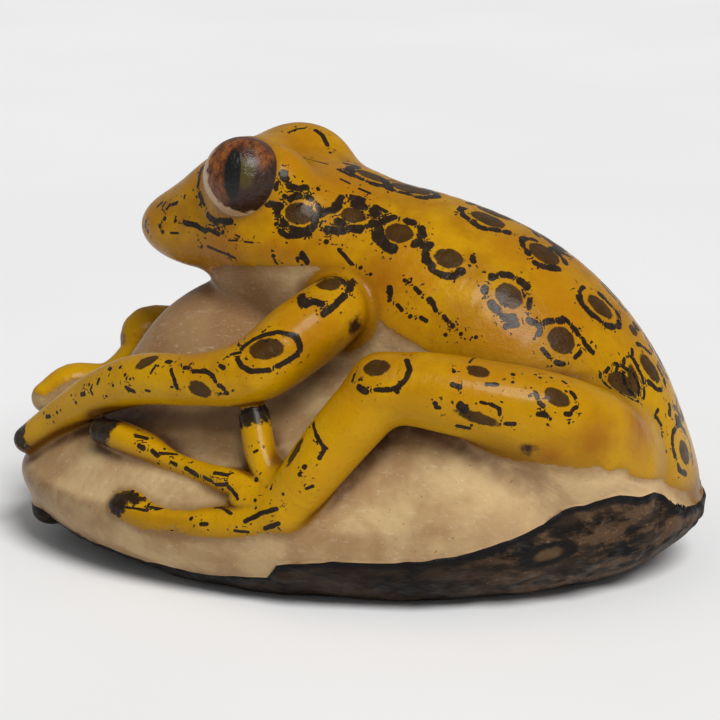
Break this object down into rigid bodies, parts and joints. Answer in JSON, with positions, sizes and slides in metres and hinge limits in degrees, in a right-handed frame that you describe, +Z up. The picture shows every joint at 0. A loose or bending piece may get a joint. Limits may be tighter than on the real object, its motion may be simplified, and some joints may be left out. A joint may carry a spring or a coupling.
{
  "type": "carved nut frog figurine",
  "caption": "Small ornament: a crouching frog carved in high relief from a nut, painted yellow with ringed brown spots, resting flat on the nut's dark seed coat.",
  "frame": {"origin": "middle of the bounding box at its bottom, on the surface that the carving rests on", "axes": "+Z up; the frog faces -X and its left side faces -Y, so +X runs along the nut's length towards the rump"},
  "size_m": [0.0528, 0.0368, 0.0315],
  "materials": {
    "painted_skin": "vegetable ivory under yellow lacquer, hand inked, glossy",
    "eye_gloss": "painted red-brown with a black pupil under clear gloss",
    "raw_kernel": "bare vegetable ivory, hand cut, satin",
    "seed_coat": "natural brown-black seed coat, satin, ground at its edges"
  },
  "bodies": {
    "root": {"head": "painted_skin", "torso": "painted_skin", "left_eye": "eye_gloss", "right_eye": "eye_gloss", "kernel_ground": "raw_kernel", "seed_coat": "seed_coat", "left_arm": "painted_skin", "left_thigh": "painted_skin", "left_shin": "painted_skin", "left_foot": "painted_skin", "right_arm": "painted_skin", "right_thigh": "painted_skin", "right_shin": "painted_skin", "right_foot": "painted_skin"}
  },
  "joints": []
}
